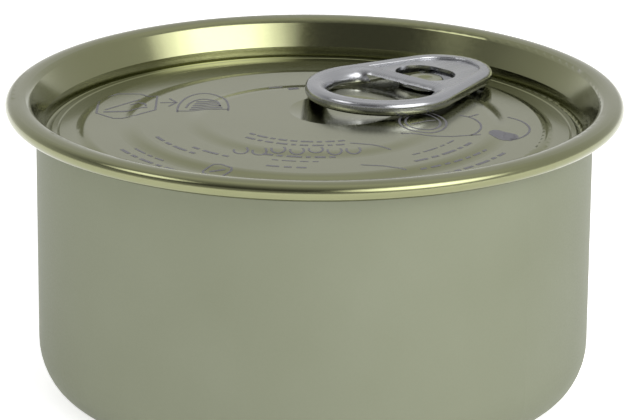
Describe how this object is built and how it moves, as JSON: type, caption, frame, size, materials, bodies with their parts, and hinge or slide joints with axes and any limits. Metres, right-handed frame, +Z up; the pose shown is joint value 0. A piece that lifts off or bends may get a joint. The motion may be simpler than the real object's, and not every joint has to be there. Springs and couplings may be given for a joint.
{
  "type": "food can",
  "caption": "Squat drawn metal food can with a rounded heel, a wide seamed rim and a full-opening end with a riveted ring pull.",
  "frame": {"origin": "on the can's axis, in the plane that it stands on", "axes": "+Z up along the can's axis, +Y from the axis towards the nose of the ring pull"},
  "size_m": [0.081, 0.081, 0.0395],
  "materials": {
    "body_lacquer": "satin grey-green lacquer over metal",
    "end_lacquer": "glossy clear lacquer with a gold-olive tint",
    "tab_metal": "bright rolled aluminium"
  },
  "bodies": {
    "root": {"can_body": "body_lacquer", "can_end": "end_lacquer", "pull_tab": "tab_metal"}
  },
  "joints": []
}
